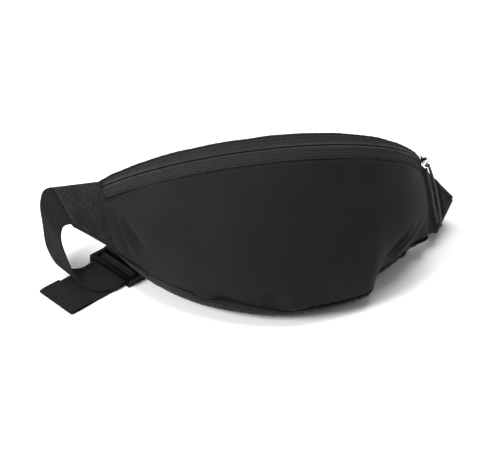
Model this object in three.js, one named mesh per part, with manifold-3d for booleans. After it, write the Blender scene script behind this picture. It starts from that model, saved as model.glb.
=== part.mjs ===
// Waist pack: a crescent-shaped zipped pouch on a webbing belt, standing on its base with the
// belt closed behind it. Millimetres, +Z up, -Y is the front, the wearer's side faces +Y.
// The origin is the middle of the flat base, on the surface that the pack stands on.
import * as THREE from 'three';
import { mergeVertices } from 'three/addons/utils/BufferGeometryUtils.js';
import Module from 'manifold-3d';

const wasm = await Module();
wasm.setup();

const V = (x, y, z) => new THREE.Vector3(x, y, z);
const lerp = THREE.MathUtils.lerp;
const radians = THREE.MathUtils.degToRad;
const mix = (a, b, t) => a.clone().lerp(b, t);

// ---- driving dimensions -------------------------------------------------------------------

const ZIP_HALF_WIDTH = 146.5;            // from the middle of the pack to each end of the zip
const ZIP_APEX = V(0, 26, 136.5);        // highest point of the zip
const ZIP_END_Y = 86.5;                  // the ends lie further back, round the wearer's hips,
const ZIP_END_Z = 69;                    // and lower
const FABRIC = 1.5;                      // coated nylon panel with its backing
const LINING = 0.8;
const FOAM = 4;                          // back padding
const SEAM_GAP = 0.4;                    // space left between neighbouring solids

const TAPE = 0.9;                        // zip tape thickness
const TAPE_SLOT = 0.9;                   // half of the slot between the two tapes
const COIL_START = 0.5;                  // the coils nearly meet in the middle
const COIL_WIDTH = 1.6;
const COIL_DEPTH = 1;
const COIL_LEVEL = 1.5;                  // below the zip line, clear of the leaning tapes
const SLIDER_ANGLE = radians(59.7);      // arc from the apex to the closed slider
const COIL_ANGLE = radians(61.2);        // to the ends of the coils
const STOP_ANGLE = radians(62.1);        // and to the stops at both ends of the zip

const WEBBING_WIDTH = 40;
const WEBBING = 1.6;                     // webbing thickness
const HEM_LENGTH = 20;                   // the free end is folded over and sewn
const PIPING_RADIUS = 1.1;
const CORD_RADIUS = 1.25;

const BUCKLE_HEADING = radians(31.8);    // from +X to the buckle's long axis
const BUCKLE_START = V(-146.5, 52.4, 0); // middle of the plug's webbing end, on the ground
const BUCKLE_HALF_WIDTH = 24.5;
const BUCKLE_HEIGHT = 8.6;

// ---- materials ----------------------------------------------------------------------------

const material = (color, roughness, metalness = 0) =>
  new THREE.MeshStandardMaterial({ color, roughness, metalness });
const NYLON = material(0x2a2a2b, 0.72);
const CORDURA = material(0x303031, 0.85);
const MESH_FABRIC = material(0x262627, 0.9);
const FOAM_GREY = material(0x5a5a5c, 0.95);
const TAPE_FABRIC = material(0x2e2e2f, 0.8);
const COIL_PLASTIC = material(0x161616, 0.45);
const SLIDER_METAL = material(0x1b1b1c, 0.35, 0.8);
const CORD_GREY = material(0x6c6c6e, 0.8);
const WEBBING_BLACK = material(0x262627, 0.8);
const BUCKLE_PLASTIC = material(0x101011, 0.4);

const pack = new THREE.Group();

function addNode(name, geometry, nodeMaterial) {
  const mesh = new THREE.Mesh(geometry, nodeMaterial);
  mesh.name = name;
  pack.add(mesh);
  return mesh;
}

// ---- solid builders -----------------------------------------------------------------------

function welded(geometry) {
  geometry.deleteAttribute('normal');
  geometry.deleteAttribute('uv');
  return mergeVertices(geometry, 1e-5);
}

function signedVolume(geometry) {
  const p = geometry.getAttribute('position');
  const corners = [V(), V(), V()];
  let volume = 0;
  for (let i = 0; i < geometry.index.count; i += 3) {
    corners.forEach((corner, k) => corner.fromBufferAttribute(p, geometry.index.getX(i + k)));
    volume += corners[0].dot(corners[1].cross(corners[2])) / 6;
  }
  return volume;
}

// A box whose three unit coordinates are sent through `place`, with its faces turned outwards.
function shapedBox(nu, nv, nw, place) {
  const box = new THREE.BoxGeometry(1, 1, 1, nu, nv, nw);
  const p = box.getAttribute('position');
  for (let i = 0; i < p.count; i += 1) {
    const q = place(p.getX(i) + 0.5, p.getY(i) + 0.5, p.getZ(i) + 0.5);
    p.setXYZ(i, q.x, q.y, q.z);
  }
  const solid = welded(box);
  if (signedVolume(solid) < 0) {
    const order = solid.index.array;
    for (let i = 0; i < order.length; i += 3) {
      [order[i], order[i + 1]] = [order[i + 1], order[i]];
    }
  }
  solid.computeVertexNormals();
  return solid;
}

function surfaceNormal(surface, u, v) {
  const step = 1e-3;
  const du = surface(u + step, v).sub(surface(u - step, v));
  const dv = surface(u, v + step).sub(surface(u, v - step));
  return du.cross(dv).normalize();
}

// A sheet between `low` and `high` millimetres along the surface's normal.
function sheet(surface, [nu, nv], [low, high], [u0, u1] = [0, 1], [v0, v1] = [0, 1]) {
  return shapedBox(nu, nv, 1, (a, b, w) => {
    const u = lerp(u0, u1, a);
    const v = lerp(v0, v1, b);
    return surface(u, v).addScaledVector(surfaceNormal(surface, u, v), lerp(low, high, w));
  });
}

// Webbing swept along stations of {centre, half}: `half` runs from the middle to one edge.
function ribbon(stations, steps, thickness = WEBBING) {
  const centre = new THREE.CatmullRomCurve3(stations.map((s) => s.centre), false, 'centripetal');
  const edge = new THREE.CatmullRomCurve3(stations.map(
    (s) => s.half.clone().setLength(WEBBING_WIDTH / 2).add(s.centre)), false, 'centripetal');
  return shapedBox(steps, 1, 1, (a, b, w) => {
    const middle = centre.getPoint(a);
    const half = edge.getPoint(a).sub(middle).setLength(WEBBING_WIDTH / 2);
    const normal = centre.getTangent(a).cross(half).normalize();
    middle.addScaledVector(half, 2 * b - 1).addScaledVector(normal, (w - 0.5) * thickness);
    return middle.setZ(Math.max(middle.z, 0));   // webbing that rests on the ground lies flat
  });
}

function toManifold(geometry) {
  const clean = welded(geometry.clone());
  return new wasm.Manifold(new wasm.Mesh({
    numProp: 3,
    vertProperties: Float32Array.from(clean.getAttribute('position').array),
    triVerts: Uint32Array.from(clean.index.array),
  }));
}

function fromManifold(solid) {
  const mesh = solid.getMesh();
  const geometry = new THREE.BufferGeometry();
  geometry.setAttribute('position', new THREE.BufferAttribute(mesh.vertProperties, 3));
  geometry.setIndex(new THREE.BufferAttribute(mesh.triVerts, 1));
  geometry.computeVertexNormals();
  return geometry;
}

function united(pieces) {
  const solids = pieces.map(toManifold);
  return fromManifold(solids.reduce((sum, piece) => sum.add(piece)));
}

function block([x0, x1], [y0, y1], [z0, z1]) {
  const box = new THREE.BoxGeometry(x1 - x0, y1 - y0, z1 - z0);
  return box.translate((x0 + x1) / 2, (y0 + y1) / 2, (z0 + z1) / 2);
}

function extrudedOutline(points, [z0, z1]) {
  const shape = new THREE.Shape(points.map(([x, y]) => new THREE.Vector2(x, y)));
  const solid = new THREE.ExtrudeGeometry(shape, { depth: z1 - z0, bevelEnabled: false });
  return solid.translate(0, 0, z0);
}

// ---- pouch rails: every seam runs from the left wing seam over the middle to the right -----

const zipDrop = Math.hypot(ZIP_END_Y - ZIP_APEX.y, ZIP_APEX.z - ZIP_END_Z);
const ZIP_RADIUS = (ZIP_HALF_WIDTH ** 2 + zipDrop ** 2) / (2 * zipDrop);
const HALF_ANGLE = Math.asin(ZIP_HALF_WIDTH / ZIP_RADIUS);
const zipInward = V(0, ZIP_END_Y - ZIP_APEX.y, ZIP_END_Z - ZIP_APEX.z).normalize();
const ZIP_CENTRE = ZIP_APEX.clone().addScaledVector(zipInward, ZIP_RADIUS);
const ZIP_AXIS = V(1, 0, 0).cross(zipInward).normalize();

// Outwards from the zip's centre, `angle` round from the apex.
const zipRadial = (angle) =>
  V(Math.sin(angle), 0, 0).addScaledVector(zipInward, -Math.cos(angle));

const arcReach = (u) => Math.sin(u * HALF_ANGLE) / Math.sin(HALF_ANGLE);
const arcDrop = (u) => (1 - Math.cos(u * HALF_ANGLE)) / (1 - Math.cos(HALF_ANGLE));

// `u` runs from -1 at the left wing seam to 1 at the right one. `slack(u)` adds to the drop.
function rail(apex, left, right, slack = () => 0) {
  return (u) => {
    const end = u < 0 ? left : right;
    const drop = arcDrop(u) + slack(u);
    const x = end.x * Math.abs(arcReach(u));
    return V(x, lerp(apex.y, end.y, drop), lerp(apex.z, end.z, drop));
  };
}

// The strips behind the zip are widest in the middle and run out at the wing seams. Each leans
// from `middle` to its end direction; on the right the slack shoulder rolls further back.
function beside(line, [wide, narrow], middle, leftEnd, rightEnd) {
  return (u) => {
    const lean = mix(middle, u < 0 ? leftEnd : rightEnd, Math.abs(u) ** 1.8).normalize();
    return line(u).addScaledVector(lean, lerp(wide, narrow, Math.abs(u) ** 2.2));
  };
}

// The right of the base is slack, so its front edge falls back there.
const flattened = (u) => (u < 0.38 ? 0 : 0.19 * Math.sin(Math.PI * (u - 0.38) / 0.62) ** 0.8);

const zipLine = rail(ZIP_APEX, V(-ZIP_HALF_WIDTH, ZIP_END_Y, ZIP_END_Z),
  V(ZIP_HALF_WIDTH, ZIP_END_Y, ZIP_END_Z));
const lowerSeam = rail(V(0, 16.5, 130), V(-145, 81, 61), V(145, 80, 61));
const upperSeam = beside(zipLine, [10.4, 4], V(0, 0.93, 0.37), V(-0.1, 0.8, 0.45),
  V(0.2, 0.9, -0.35));
const backTop = beside(upperSeam, [10, 3], V(0, 0.85, -0.5), V(-0.1, 0.85, -0.5),
  V(0.2, 0.75, -0.65));
const bottomSeam = rail(V(0, -34.5, 14.5), V(-136, 55, 22), V(144, 43, 19), flattened);
const backBottom = rail(V(0, 40, 6), V(-138, 62, 22), V(146, 50, 19));

const fullness = (u) => 1 - Math.abs(u) ** 3;

// A ruled surface between two rails, pushed out along its normal by `amount(u, v)`.
function bulged(first, second, amount) {
  const flat = (u, v) => mix(first(u), second(u), v);
  return (u, v) => flat(u, v).addScaledVector(surfaceNormal(flat, u, v), amount(u, v));
}

const frontSurface = bulged(lowerSeam, bottomSeam,
  (u, v) => -(3 + 9 * fullness(u)) * Math.sin(Math.PI * v) ** 0.9);
const backSurface = bulged(backTop, backBottom, (u, v) => 2 * fullness(u) * Math.sin(Math.PI * v));
const topSurface = bulged(upperSeam, backTop, (u, v) => 0.8 * Math.sin(Math.PI * v));

// The bottom gusset sags to the ground and lies flat there in the middle of the pack.
const GUSSET_SAG = 15;
function gussetSurface(u, v) {
  const q = mix(bottomSeam(u), backBottom(u), v);
  const sag = GUSSET_SAG * fullness(u) * Math.sin(Math.PI * v) ** 0.55;
  const ground = FABRIC + 30 * Math.max(0, Math.abs(u) - 0.3) ** 1.5;
  q.z = Math.max(q.z - sag, Math.min(ground, q.z));
  return q;
}

// ---- pouch panels: each inner face is its surface, the cloth's thickness stands outwards ----

const STRIPS = 31;                       // strips along a panel, an odd number
const PANEL_END = 0.985;                 // panels stop just short of the wing seams

// Keeps `near` and `far` millimetres clear of a surface's two rails.
function trimmed(surface, [first, second], near, far) {
  return (u, v) => {
    const width = first(u).distanceTo(second(u));
    return surface(u, lerp(near, width - far, v) / width);
  };
}

function pouchPanel(name, surface, rails, rows, [low, high], nodeMaterial, margin = SEAM_GAP / 2,
  reach = PANEL_END) {
  const inner = trimmed(surface, rails, margin, margin);
  addNode(name, sheet(inner, [STRIPS, rows], [low, high], [-reach, reach]), nodeMaterial);
}

const frontRails = [lowerSeam, bottomSeam];
const baseRails = [bottomSeam, backBottom];
const backRails = [backTop, backBottom];
pouchPanel('front_panel', frontSurface, frontRails, 9, [-FABRIC, 0], NYLON);
pouchPanel('bottom_gusset', gussetSurface, baseRails, 9, [-FABRIC, 0], NYLON);
pouchPanel('top_panel', topSurface, [upperSeam, backTop], 2, [0, FABRIC], NYLON, 0.8);

// The back is a sandwich of lining, foam and an outer face of spacer mesh.
const foamStart = LINING + SEAM_GAP;
const faceStart = foamStart + FOAM + SEAM_GAP;
pouchPanel('back_lining', backSurface, backRails, 5, [0, LINING], NYLON, 1.2);
pouchPanel('back_foam', backSurface, backRails, 5, [foamStart, foamStart + FOAM], FOAM_GREY, 8, 0.93);
pouchPanel('back_face', backSurface, backRails, 5, [faceStart, faceStart + FABRIC], MESH_FABRIC);

// Piping sewn into the seam between the front panel and the bottom gusset.
function alongRail(line, outward, start = -PANEL_END, end = PANEL_END) {
  class RailCurve extends THREE.Curve {
    getPoint(t) {
      const u = lerp(start, end, t);
      return line(u).add(outward(u));
    }
  }
  return new RailCurve();
}

function tube(path, radius, steps, sides = 8) {
  const circle = new THREE.Shape();
  circle.absarc(0, 0, radius, 0, 2 * Math.PI);
  return new THREE.ExtrudeGeometry(circle,
    { extrudePath: path, steps, curveSegments: sides, bevelEnabled: false });
}

const seamOutward = (u) => surfaceNormal(frontSurface, u, 0.97).negate()
  .add(surfaceNormal(gussetSurface, u, 0.03).negate()).setLength(FABRIC + PIPING_RADIUS);
addNode('bottom_seam_piping', tube(alongRail(bottomSeam, seamOutward), PIPING_RADIUS, 48, 6), NYLON);

// ---- zip ----------------------------------------------------------------------------------

const COIL_REACH = COIL_ANGLE / HALF_ANGLE;
const tapeSurface = (line) => (u, v) => mix(zipLine(u), line(u), v);
const TAPES = [
  { side: 'front', seam: lowerSeam, outward: -1 },
  { side: 'back', seam: upperSeam, outward: 1 },
];
for (const { side, seam, outward } of TAPES) {
  const tape = trimmed(tapeSurface(seam), [zipLine, seam], TAPE_SLOT, SEAM_GAP / 2);
  addNode(`zip_tape_${side}`,
    sheet(tape, [STRIPS + 8, 1], [0, outward * TAPE], [-PANEL_END, PANEL_END]), TAPE_FABRIC);
  addNode(`zip_coil_${side}`, shapedBox(STRIPS + 8, 1, 1, (a, b, w) => {
    const u = lerp(-COIL_REACH, COIL_REACH, a);
    return zipLine(u)
      .addScaledVector(ZIP_AXIS, outward * (COIL_START + COIL_WIDTH * b))
      .addScaledVector(zipRadial(u * HALF_ANGLE), -COIL_LEVEL - COIL_DEPTH * w);
  }), COIL_PLASTIC);
}

// ---- wings: two layers of cordura with the belt's end sewn between them --------------------

const WING_HALF_GAP = 1.7;               // the webbing lies in this gap
const WING_LAYER = 1.3;
const WINGS = {
  left: {
    top: V(-151.8, 92, 71.5), bottom: V(-139.5, 57, 19.5), bow: 4,
    tipTop: V(-184.2, 107, 58.5), tipBottom: V(-173.2, 71, 43),
  },
  right: {
    top: V(151.5, 88, 65), bottom: V(148, 45, 17.5), bow: -1,
    tipTop: V(184, 84, 29), tipBottom: V(157.5, 54, 13.5),
  },
};

// A wing's seam edge follows the full side of the pouch, `bow` millimetres off a straight line.
function wingSurface({ top, bottom, tipTop, tipBottom, bow }) {
  return (s, t) => mix(mix(top, tipTop, s), mix(bottom, tipBottom, s), t)
    .add(V(bow * Math.sin(Math.PI * t) * (1 - s) ** 2, 0, 0));
}

for (const [side, wing] of Object.entries(WINGS)) {
  const middle = wingSurface(wing);
  const facing = side === 'left' ? 1 : -1;   // the sign of the normal that faces the front
  const levels = [WING_HALF_GAP, WING_HALF_GAP + WING_LAYER];
  addNode(`wing_${side}_front`, sheet(middle, [10, 8], levels.map((n) => facing * n)), CORDURA);
  addNode(`wing_${side}_back`, sheet(middle, [10, 8], levels.map((n) => -facing * n)), NYLON);
}

// ---- belt ---------------------------------------------------------------------------------

const along = V(Math.cos(BUCKLE_HEADING), Math.sin(BUCKLE_HEADING), 0);
const across = V(along.y, -along.x, 0);  // towards the front right
const beltPoint = (s, z) => BUCKLE_START.clone().addScaledVector(along, s).setZ(z);
const flat = (s, z) => ({ centre: beltPoint(s, z), half: across.clone() });
const station = (x, y, z, hx, hy, hz) => ({ centre: V(x, y, z), half: V(hx, hy, hz) });

function wingStation({ top, bottom, tipTop, tipBottom }, s) {
  const upper = mix(top, tipTop, s);
  const lower = mix(bottom, tipBottom, s);
  return { centre: mix(upper, lower, 0.5), half: lower.clone().sub(upper) };
}

// The belt's two ends turn round a bar of the buckle and come back as tails under the belt: the
// left one is the free end that sets the belt's length, the right one is short and sewn down.
const PLUG_BAR = { s: 14, z: 3.6 };
const SOCKET_BAR = { s: 86, z: 3.6 };
const TURN_RADIUS = 2.75;
const TAIL_Z = 0.85;

function turn(bar, direction) {
  const angles = [90, 60, 30, 0, -30, -60, -90].map(radians);
  return angles.map((angle) => flat(bar.s + direction * TURN_RADIUS * Math.cos(angle),
    bar.z + TURN_RADIUS * Math.sin(angle)));
}

// A station just past a wing's tip, `out` beyond the tip and `under` behind the wing.
function wingFold(wing, out, under) {
  const tip = wingStation(wing, 1);
  const outward = tip.centre.clone().sub(wingStation(wing, 0).centre).normalize();
  const behind = outward.clone().cross(tip.half).normalize();
  tip.centre.addScaledVector(outward, out).addScaledVector(behind, under);
  return tip;
}

const curl = [
  wingStation(WINGS.left, 0.5),
  wingStation(WINGS.left, 0.75),
  wingStation(WINGS.left, 1),
  wingFold(WINGS.left, 2.2, 0),
  station(-186.5, 92.5, 46.5, 5.4, -17.5, -7),
  station(-189.5, 87, 38, 6, -17.3, -7),
  station(-188, 76.3, 26.3, 7, -18, -5),
];
const groundRun = [
  station(-188, 75.7, 25.7, 7, -18, -5),
  station(-184, 63, 12, 9, -17.5, -2.5),
  station(-174, 48, 4.5, 10, -17.3, -0.4),
  flat(-13, 3.1),
  flat(2, 3),
  flat(8.4, 3.5),
];

// The free end is folded back over itself and sewn down.
const TAIL_END = -57;
const FOLD = 0.95;
const leftTail = [flat(6, TAIL_Z), flat(-25, TAIL_Z), flat(TAIL_END + 2, TAIL_Z),
  flat(TAIL_END - FOLD, TAIL_Z + FOLD), flat(TAIL_END + 2, TAIL_Z + 2 * FOLD),
  flat(TAIL_END + HEM_LENGTH, TAIL_Z + 2 * FOLD)];
addNode('strap_left', ribbon(curl, 18), WEBBING_BLACK);
addNode('strap_left_run', ribbon([...groundRun, ...turn(PLUG_BAR, 1), ...leftTail], 84),
  WEBBING_BLACK);

// The right end of the belt turns under its wing, passes under the pack along the ground, stands
// up on its edge behind the pack and lies down again at the buckle.
const bow = [
  wingStation(WINGS.right, 0.5),
  wingStation(WINGS.right, 0.75),
  wingStation(WINGS.right, 1),
  wingFold(WINGS.right, 3.5, 1.2),
  wingFold(WINGS.right, 5, 3.4),
  wingFold(WINGS.right, 3, 6.4),
  station(164, 83, 10, -10.5, -15.6, -6),
  station(155, 83, 3.6, -8, -18, -2.4),
  station(141, 73, 0.85, -7, -18.7, 0),
  station(124, 58, 0.85, -2, -19.9, 0),
  station(98, 56, 0.85, -4, -19.6, 0),
  station(60, 66, 0.85, -6.8, -18.8, 0),
  station(28, 80, 6, -7.5, -17.5, -5.1),
  station(4, 96, 15.6, -6, -11.5, -14.8),
  station(-14, 109, 20.9, -1, -2, -19.9),
  station(-30, 115, 18.6, 2, -8, -17.6),
  station(-45, 113, 11.5, 7, -16, -9.4),
  flat(105, 3.2),
  flat(98, 3),
  flat(91.6, 3.5),
];
const rightTail = [flat(94, TAIL_Z), flat(106, TAIL_Z)];
addNode('strap_right', ribbon([...bow, ...turn(SOCKET_BAR, -1), ...rightTail], 124),
  WEBBING_BLACK);

// ---- buckle: x along its long axis, y across it, z up ---------------------------------------

const buckle = new THREE.Group();
buckle.position.copy(BUCKLE_START);
buckle.rotation.z = BUCKLE_HEADING;
pack.add(buckle);

function addBuckleNode(name, geometry, nodeMaterial = BUCKLE_PLASTIC) {
  const mesh = new THREE.Mesh(geometry, nodeMaterial);
  mesh.name = name;
  buckle.add(mesh);
}

function bar({ s, z }, radius, halfWidth) {
  return new THREE.CylinderGeometry(radius, radius, 2 * halfWidth, 12).translate(s, 0, z);
}

const RAIL_INNER = 20.8;                 // the webbing runs between the side rails
const sideRails = (s, z) => [-1, 1].map((side) => {
  const edges = [side * RAIL_INNER, side * BUCKLE_HALF_WIDTH].sort((a, b) => a - b);
  return block(s, edges, z);
});
const BAR_RADIUS = 1.6;
const PLUG_BODY_START = 19.4;
const PRONG_ROOT = 31;

addBuckleNode('buckle_plug', united([
  ...sideRails([3, 24], [0.3, 7.2]),
  block([3, 7], [-BUCKLE_HALF_WIDTH, BUCKLE_HALF_WIDTH], [4.8, 7.2]),
  bar(PLUG_BAR, BAR_RADIUS, RAIL_INNER + 1),
  block([PLUG_BODY_START, 29], [-BUCKLE_HALF_WIDTH, BUCKLE_HALF_WIDTH], [0.3, 8]),
  block([28, 33], [-21, 21], [2.9, 6.1]),
  block([30, 58], [-3.2, 3.2], [2.9, 6.1]),
]));


// The prongs are sprung fingers whose pads stand out between the socket's two plates.
const prongOutline = [[0, 11.5], [0, 16.5], [9, 17.5], [12.5, 23.6], [20, 23.6], [27.5, 17.5],
  [29, 13], [27, 11.5], [20, 12.6], [9, 12.6]];
for (const [side, sign] of [['front', -1], ['back', 1]]) {
  const outline = prongOutline.map(([x, y]) => [PRONG_ROOT + 2.3 + x, sign * y]);
  addBuckleNode(`buckle_prong_${side}`, extrudedOutline(outline, [2.9, 6.1]));
}

addBuckleNode('buckle_socket', united([
  block([36.5, 68], [-22.5, 22.5], [6.6, BUCKLE_HEIGHT]),
  block([36.5, 68], [-22.5, 22.5], [0.3, 2.4]),
  block([66, 78], [-BUCKLE_HALF_WIDTH, BUCKLE_HALF_WIDTH], [0.3, BUCKLE_HEIGHT]),
  ...[-1, 1].map((sign) => block([40, 67], [sign * 6 - 1, sign * 6 + 1], [2, 7])),
  ...sideRails([77, 97], [0.3, 7.2]),
  block([93, 97], [-BUCKLE_HALF_WIDTH, BUCKLE_HALF_WIDTH], [4.8, 7.2]),
  bar(SOCKET_BAR, BAR_RADIUS, RAIL_INNER + 1),
]));

// ---- slider, its pull and the zip's stops: x along the zip, y across it, z outwards ---------

function zipFrame(angle) {
  const radial = zipRadial(angle);
  const tangent = V(Math.cos(angle), 0, 0).addScaledVector(zipInward, Math.sin(angle));
  const frame = new THREE.Group();
  frame.quaternion.setFromRotationMatrix(
    new THREE.Matrix4().makeBasis(tangent, ZIP_AXIS, radial));
  frame.position.copy(ZIP_CENTRE).addScaledVector(radial, ZIP_RADIUS);
  pack.add(frame);
  return { frame, radial, tangent };
}

function addFramedNode(frame, name, geometry, nodeMaterial) {
  const mesh = new THREE.Mesh(geometry, nodeMaterial);
  mesh.name = name;
  frame.add(mesh);
}

for (const [name, angle] of [['zip_stop_left', -STOP_ANGLE], ['zip_stop_right', STOP_ANGLE]]) {
  addFramedNode(zipFrame(angle).frame, name, block([-0.6, 0.6], [-1.8, 1], [-2.6, -1.6]),
    COIL_PLASTIC);
}

const BRIDGE_Z = 6.2;                    // the slider's bridge bar stands this far off the zip
const slider = zipFrame(SLIDER_ANGLE);
const shield = [[-4.5, -2.5], [-4.5, 2.5], [0.5, 3.4], [4.5, 3], [4.5, -3], [0.5, -3.4]]
  .reverse();
addFramedNode(slider.frame, 'zip_slider', united([
  extrudedOutline(shield, [1.9, 3]),
  block([-3.6, 3.6], [-1.6, 0.5], [-3.5, -2.8]),
  block([-1.2, 2], [-0.25, 0.25], [-3.3, 2.4]),
  block([-3.6, -2.6], [-0.8, 0.8], [2.7, BRIDGE_Z + 0.3]),
  block([2.6, 3.6], [-0.8, 0.8], [2.7, BRIDGE_Z + 0.3]),
  block([-3, 3], [-0.4, 0.4], [BRIDGE_Z - 0.3, BRIDGE_Z + 0.3]),
]), SLIDER_METAL);

// The ring runs round the bridge bar and hangs towards the front, and the cord hangs from it.
const PULL_END = V(160.5, 50.5, 22);
const bridge = slider.frame.position.clone().addScaledVector(slider.radial, BRIDGE_Z);
const hanging = PULL_END.clone().sub(bridge);
hanging.addScaledVector(slider.tangent, -hanging.dot(slider.tangent)).normalize();
const RING_RADIUS = 2.4;
const RING_WIRE = 0.5;
const RING_OFFSET = 1.3;
const ring = new THREE.Group();
ring.quaternion.setFromRotationMatrix(new THREE.Matrix4().makeBasis(
  hanging.clone().cross(slider.tangent), hanging, slider.tangent));
ring.position.copy(bridge).addScaledVector(hanging, RING_OFFSET);
pack.add(ring);
const ringMesh = new THREE.Mesh(
  new THREE.TorusGeometry(RING_RADIUS, RING_WIRE, 8, 20), SLIDER_METAL);
ringMesh.name = 'zip_pull_ring';
ring.add(ringMesh);

const knotCentre = bridge.clone()
  .addScaledVector(hanging, RING_OFFSET + RING_RADIUS + RING_WIRE + 0.3 + 1.5);
const knot = new THREE.SphereGeometry(1, 10, 8).scale(2.4, 1.5, 1.7);
const knotMesh = new THREE.Mesh(knot, CORD_GREY);
knotMesh.name = 'zip_pull_knot';
knotMesh.quaternion.copy(ring.quaternion);
knotMesh.position.copy(knotCentre);
pack.add(knotMesh);

function cordNode(name, points) {
  const path = new THREE.CatmullRomCurve3(points, false, 'centripetal');
  addNode(name, tube(path, CORD_RADIUS, 18, 4), CORD_GREY);
}

const cordTop = knotCentre.clone().addScaledVector(hanging, 1.5 + 0.3 + 0.6);
cordNode('zip_pull_cord_long', [cordTop.clone().add(V(1.5, 0, 0.4)), V(155.5, 67.5, 55),
  V(159, 58, 37), PULL_END]);
cordNode('zip_pull_cord_short', [cordTop.clone().add(V(-1.5, 0, -0.4)), V(151, 66, 53),
  V(154, 57, 37), V(156.3, 51, 26)]);

// A grosgrain end tab sewn over the wing seam below the closed slider.
const tabSurface = (u, v) => wingSurface(WINGS.right)(lerp(0.03, 0.2, u), lerp(0.42, 0.85, v));
const tabLow = WING_HALF_GAP + WING_LAYER + SEAM_GAP;
addNode('zip_end_tab', sheet(tabSurface, [1, 4], [-tabLow - 1, -tabLow]), WEBBING_BLACK);

export default pack;
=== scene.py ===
"""Waist pack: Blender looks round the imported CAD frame. Lengths in this file are millimetres in the
row frame (+Z up, -Y the front) and become metres when a mesh is made."""
import math

import bmesh
import bpy
import numpy as np
from mathutils import Matrix, Vector


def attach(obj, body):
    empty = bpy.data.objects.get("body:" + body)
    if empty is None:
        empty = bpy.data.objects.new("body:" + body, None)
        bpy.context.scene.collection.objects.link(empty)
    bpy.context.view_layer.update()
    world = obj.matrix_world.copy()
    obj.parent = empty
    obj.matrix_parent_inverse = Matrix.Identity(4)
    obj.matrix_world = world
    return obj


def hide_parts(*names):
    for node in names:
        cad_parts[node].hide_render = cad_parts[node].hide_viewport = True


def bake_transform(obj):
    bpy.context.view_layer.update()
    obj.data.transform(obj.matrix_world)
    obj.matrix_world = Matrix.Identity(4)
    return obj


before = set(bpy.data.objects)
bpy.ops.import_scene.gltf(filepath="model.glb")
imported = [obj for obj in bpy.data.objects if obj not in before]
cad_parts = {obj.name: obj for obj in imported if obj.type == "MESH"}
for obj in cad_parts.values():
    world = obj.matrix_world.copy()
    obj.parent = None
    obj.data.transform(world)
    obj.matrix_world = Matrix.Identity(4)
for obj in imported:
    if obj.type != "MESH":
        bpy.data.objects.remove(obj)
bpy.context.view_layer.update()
MM = 0.001


# ---- small vector helpers -----------------------------------------------------------------------

def V(*c):
    return np.array(c, float)


def unit(p):
    return p / np.linalg.norm(p, axis=-1, keepdims=True)


def mix(a, b, t):
    t = np.asarray(t, float)[..., None]
    return a * (1 - t) + b * t


def smooth(x):
    x = np.clip(x, 0, 1)
    return x * x * (3 - 2 * x)


def arch(v):
    return np.sin(np.pi * np.clip(v, 0, 1))


# ---- camera -------------------------------------------------------------------------------------

TARGET = V(-48.2, -20, 95.8)
AZIMUTH, ELEVATION, ROLL = (math.radians(a) for a in (-19.9, 35.4, 6.8))
DISTANCE = 1150.0
LENS = 103.5


def place_camera():
    right = V(math.cos(AZIMUTH), math.sin(AZIMUTH), 0)
    back = V(math.sin(AZIMUTH) * math.cos(ELEVATION), -math.cos(AZIMUTH) * math.cos(ELEVATION),
             math.sin(ELEVATION))
    up = np.cross(back, right)
    rolled_right = right * math.cos(ROLL) + up * math.sin(ROLL)
    rolled_up = up * math.cos(ROLL) - right * math.sin(ROLL)
    data = bpy.data.cameras.new("camera")
    data.lens = LENS
    data.sensor_width = 36
    data.clip_end = 20
    camera = bpy.data.objects.new("camera", data)
    bpy.context.scene.collection.objects.link(camera)
    axes = Matrix((rolled_right, rolled_up, back)).transposed()
    camera.matrix_world = Matrix.Translation(Vector((TARGET + DISTANCE * back) * MM)) @ axes.to_4x4()
    bpy.context.scene.camera = camera


place_camera()


# ---- node materials -----------------------------------------------------------------------------

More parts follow.
